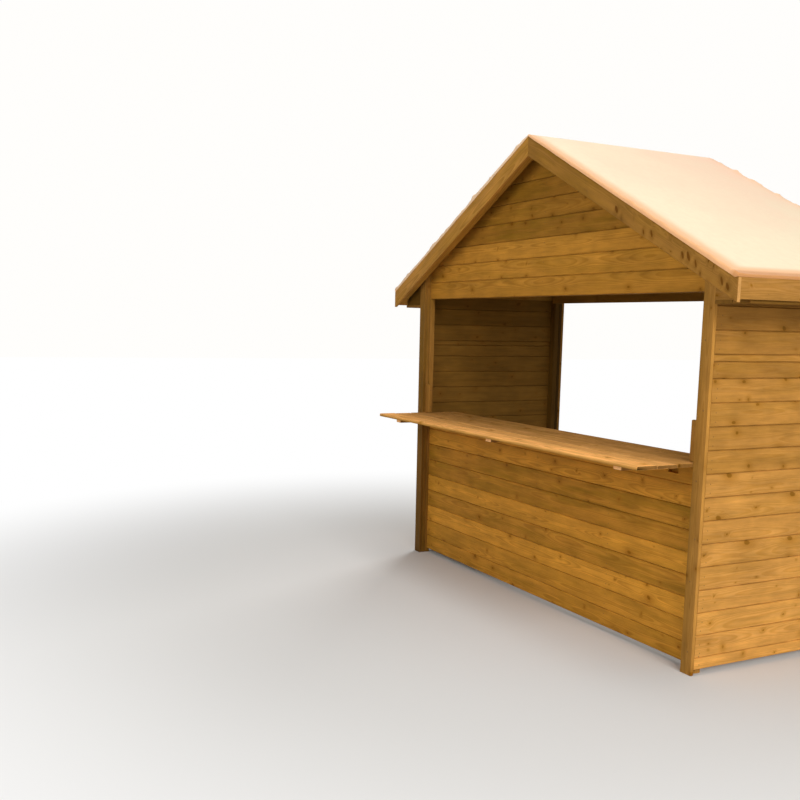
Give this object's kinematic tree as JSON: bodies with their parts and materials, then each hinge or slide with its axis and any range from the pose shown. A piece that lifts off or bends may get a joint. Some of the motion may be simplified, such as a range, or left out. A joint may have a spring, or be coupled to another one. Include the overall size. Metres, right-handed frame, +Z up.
{
  "type": "wooden market hut",
  "caption": "Boarded wooden market hut with an open serving hatch, a plank counter, an open back and a gabled roof covered with white fleece.",
  "frame": {"origin": "on the floor, in the middle of the box round the whole hut, counter and roof included", "axes": "+X to the right along the front, +Y from the serving front to the open back, +Z up"},
  "size_m": [3.464, 1.71, 2.8539],
  "materials": {
    "corner_timber": "planed spruce, treated to a yellow-brown",
    "front_wall_boards": "planed spruce boards with V-joints",
    "side_wall_boards": "planed spruce boards with V-joints, paler than the front",
    "gable_boards": "planed spruce boards with V-joints",
    "counter_wood": "planed spruce planks",
    "bargeboard_wood": "planed spruce with many knots",
    "eave_boards": "planed spruce",
    "roof_boards": "planed spruce boards with V-joints on the underside",
    "frame_timber": "sawn spruce",
    "snow_fleece": "soft white fleece"
  },
  "bodies": {
    "root": {"front_left_post": "corner_timber", "front_right_post": "corner_timber", "rear_left_post": "corner_timber", "rear_right_post": "corner_timber", "front_left_trim": "corner_timber", "front_right_trim": "corner_timber", "rear_left_trim": "corner_timber", "rear_right_trim": "corner_timber", "left_jamb_cleat": "corner_timber", "right_jamb_cleat": "corner_timber", "front_wall": "front_wall_boards", "front_wall_top_rail": "front_wall_boards", "left_wall": "side_wall_boards", "right_wall": "side_wall_boards", "front_gable": "gable_boards", "rear_gable": "gable_boards", "counter_top": "counter_wood", "counter_arms": "counter_wood", "front_left_bargeboard": "bargeboard_wood", "front_right_bargeboard": "bargeboard_wood", "rear_left_bargeboard": "bargeboard_wood", "rear_right_bargeboard": "bargeboard_wood", "left_fascia": "eave_boards", "right_fascia": "eave_boards", "left_soffit": "eave_boards", "right_soffit": "eave_boards", "left_eave_ends": "eave_boards", "right_eave_ends": "eave_boards", "left_roof_deck": "roof_boards", "right_roof_deck": "roof_boards", "front_wall_bottom_rail": "frame_timber", "front_wall_studs": "frame_timber", "left_wall_bottom_rail": "frame_timber", "right_wall_bottom_rail": "frame_timber", "left_wall_plate": "frame_timber", "right_wall_plate": "frame_timber", "front_lintel": "frame_timber", "rear_lintel": "frame_timber", "gable_studs": "frame_timber", "ridge_beam": "frame_timber", "left_rafters": "frame_timber", "right_rafters": "frame_timber", "snow_fleece": "snow_fleece"}
  },
  "joints": []
}
